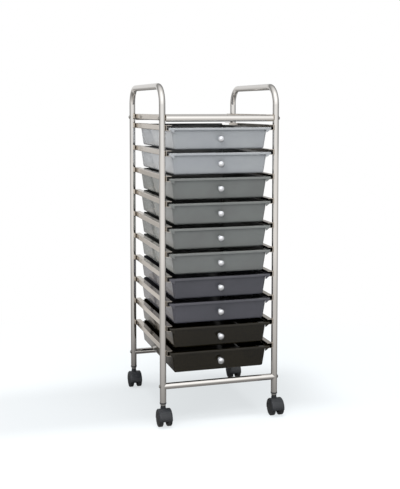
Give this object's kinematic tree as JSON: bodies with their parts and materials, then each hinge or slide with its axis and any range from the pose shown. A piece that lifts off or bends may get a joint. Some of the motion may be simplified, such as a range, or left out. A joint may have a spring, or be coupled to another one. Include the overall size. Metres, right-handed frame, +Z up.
{
  "type": "rolling drawer cart",
  "caption": "Rolling storage cart: sliding plastic drawers on rails between two chromed tube frames that form handles, with a shallow top tray and swivelling twin-wheel casters.",
  "frame": {"origin": "on the floor, midway between the four pairs of wheels as they stand at rest", "axes": "+X to the cart's right seen from the front, +Y to its back, +Z up; the drawers open towards -Y"},
  "size_m": [0.377, 0.434, 0.96],
  "materials": {
    "frame_chrome": "bright chrome plate on steel tube and sheet",
    "fastener_steel": "zinc-plated steel",
    "drawer_light": "glossy light grey moulding",
    "drawer_mid": "glossy mid grey moulding",
    "drawer_dark": "glossy dark grey moulding",
    "drawer_black": "glossy black moulding",
    "tray_plastic": "semi-gloss dark grey moulding",
    "knob_metal": "satin silver",
    "caster_plastic": "satin black nylon",
    "wheel_nylon": "satin black nylon tread"
  },
  "bodies": {
    "root": {"side_frame_left": "frame_chrome", "side_frame_right": "frame_chrome", "bar_top_front": "frame_chrome", "bar_top_back": "frame_chrome", "bar_low_front": "frame_chrome", "bar_low_back": "frame_chrome", "bar_bolts": "fastener_steel", "bar_plugs": "fastener_steel", "top_tray": "tray_plastic", "rails_tray": "frame_chrome", "caster_sockets": "caster_plastic", "caster_stems": "fastener_steel", "rails_1": "frame_chrome", "rails_2": "frame_chrome", "rails_3": "frame_chrome", "rails_4": "frame_chrome", "rails_5": "frame_chrome", "rails_6": "frame_chrome", "rails_7": "frame_chrome", "rails_8": "frame_chrome", "rails_9": "frame_chrome", "rails_10": "frame_chrome"},
    "drawer_1": {"drawer_1": "drawer_light", "knob_1": "knob_metal"},
    "drawer_2": {"drawer_2": "drawer_light", "knob_2": "knob_metal"},
    "drawer_3": {"drawer_3": "drawer_mid", "knob_3": "knob_metal"},
    "drawer_4": {"drawer_4": "drawer_mid", "knob_4": "knob_metal"},
    "drawer_5": {"drawer_5": "drawer_mid", "knob_5": "knob_metal"},
    "drawer_6": {"drawer_6": "drawer_mid", "knob_6": "knob_metal"},
    "drawer_7": {"drawer_7": "drawer_dark", "knob_7": "knob_metal"},
    "drawer_8": {"drawer_8": "drawer_dark", "knob_8": "knob_metal"},
    "drawer_9": {"drawer_9": "drawer_black", "knob_9": "knob_metal"},
    "drawer_10": {"drawer_10": "drawer_black", "knob_10": "knob_metal"},
    "caster_front_left": {"hood_front_left": "caster_plastic", "axle_front_left": "fastener_steel"},
    "wheel_front_left_outer": {"wheel_front_left_outer": "wheel_nylon"},
    "wheel_front_left_inner": {"wheel_front_left_inner": "wheel_nylon"},
    "caster_front_right": {"hood_front_right": "caster_plastic", "axle_front_right": "fastener_steel"},
    "wheel_front_right_outer": {"wheel_front_right_outer": "wheel_nylon"},
    "wheel_front_right_inner": {"wheel_front_right_inner": "wheel_nylon"},
    "caster_back_left": {"hood_back_left": "caster_plastic", "axle_back_left": "fastener_steel"},
    "wheel_back_left_outer": {"wheel_back_left_outer": "wheel_nylon"},
    "wheel_back_left_inner": {"wheel_back_left_inner": "wheel_nylon"},
    "caster_back_right": {"hood_back_right": "caster_plastic", "axle_back_right": "fastener_steel"},
    "wheel_back_right_outer": {"wheel_back_right_outer": "wheel_nylon"},
    "wheel_back_right_inner": {"wheel_back_right_inner": "wheel_nylon"}
  },
  "joints": [
    {"name": "drawer_1_slide", "type": "slide", "parent": "root", "child": "drawer_1", "axis": [0, -1, 0], "range_m": [0, 0.3]},
    {"name": "drawer_2_slide", "type": "slide", "parent": "root", "child": "drawer_2", "axis": [0, -1, 0], "range_m": [0, 0.3]},
    {"name": "drawer_3_slide", "type": "slide", "parent": "root", "child": "drawer_3", "axis": [0, -1, 0], "range_m": [0, 0.3]},
    {"name": "drawer_4_slide", "type": "slide", "parent": "root", "child": "drawer_4", "axis": [0, -1, 0], "range_m": [0, 0.3]},
    {"name": "drawer_5_slide", "type": "slide", "parent": "root", "child": "drawer_5", "axis": [0, -1, 0], "range_m": [0, 0.3]},
    {"name": "drawer_6_slide", "type": "slide", "parent": "root", "child": "drawer_6", "axis": [0, -1, 0], "range_m": [0, 0.3]},
    {"name": "drawer_7_slide", "type": "slide", "parent": "root", "child": "drawer_7", "axis": [0, -1, 0], "range_m": [0, 0.3]},
    {"name": "drawer_8_slide", "type": "slide", "parent": "root", "child": "drawer_8", "axis": [0, -1, 0], "range_m": [0, 0.3]},
    {"name": "drawer_9_slide", "type": "slide", "parent": "root", "child": "drawer_9", "axis": [0, -1, 0], "range_m": [0, 0.3]},
    {"name": "drawer_10_slide", "type": "slide", "parent": "root", "child": "drawer_10", "axis": [0, -1, 0], "range_m": [0, 0.3]},
    {"name": "swivel_front_left", "type": "hinge", "parent": "root", "child": "caster_front_left", "pos_m": [-0.167, -0.177, 0.05], "axis": [0, 0, 1], "continuous": true},
    {"name": "roll_front_left_outer", "type": "hinge", "parent": "caster_front_left", "child": "wheel_front_left_outer", "pos_m": [-0.167, -0.19, 0.023], "axis": [1, 0, 0], "continuous": true},
    {"name": "roll_front_left_inner", "type": "hinge", "parent": "caster_front_left", "child": "wheel_front_left_inner", "pos_m": [-0.167, -0.19, 0.023], "axis": [1, 0, 0], "continuous": true},
    {"name": "swivel_front_right", "type": "hinge", "parent": "root", "child": "caster_front_right", "pos_m": [0.167, -0.177, 0.05], "axis": [0, 0, 1], "continuous": true},
    {"name": "roll_front_right_outer", "type": "hinge", "parent": "caster_front_right", "child": "wheel_front_right_outer", "pos_m": [0.167, -0.19, 0.023], "axis": [1, 0, 0], "continuous": true},
    {"name": "roll_front_right_inner", "type": "hinge", "parent": "caster_front_right", "child": "wheel_front_right_inner", "pos_m": [0.167, -0.19, 0.023], "axis": [1, 0, 0], "continuous": true},
    {"name": "swivel_back_left", "type": "hinge", "parent": "root", "child": "caster_back_left", "pos_m": [-0.167, 0.203, 0.05], "axis": [0, 0, 1], "continuous": true},
    {"name": "roll_back_left_outer", "type": "hinge", "parent": "caster_back_left", "child": "wheel_back_left_outer", "pos_m": [-0.167, 0.19, 0.023], "axis": [1, 0, 0], "continuous": true},
    {"name": "roll_back_left_inner", "type": "hinge", "parent": "caster_back_left", "child": "wheel_back_left_inner", "pos_m": [-0.167, 0.19, 0.023], "axis": [1, 0, 0], "continuous": true},
    {"name": "swivel_back_right", "type": "hinge", "parent": "root", "child": "caster_back_right", "pos_m": [0.167, 0.203, 0.05], "axis": [0, 0, 1], "continuous": true},
    {"name": "roll_back_right_outer", "type": "hinge", "parent": "caster_back_right", "child": "wheel_back_right_outer", "pos_m": [0.167, 0.19, 0.023], "axis": [1, 0, 0], "continuous": true},
    {"name": "roll_back_right_inner", "type": "hinge", "parent": "caster_back_right", "child": "wheel_back_right_inner", "pos_m": [0.167, 0.19, 0.023], "axis": [1, 0, 0], "continuous": true}
  ]
}
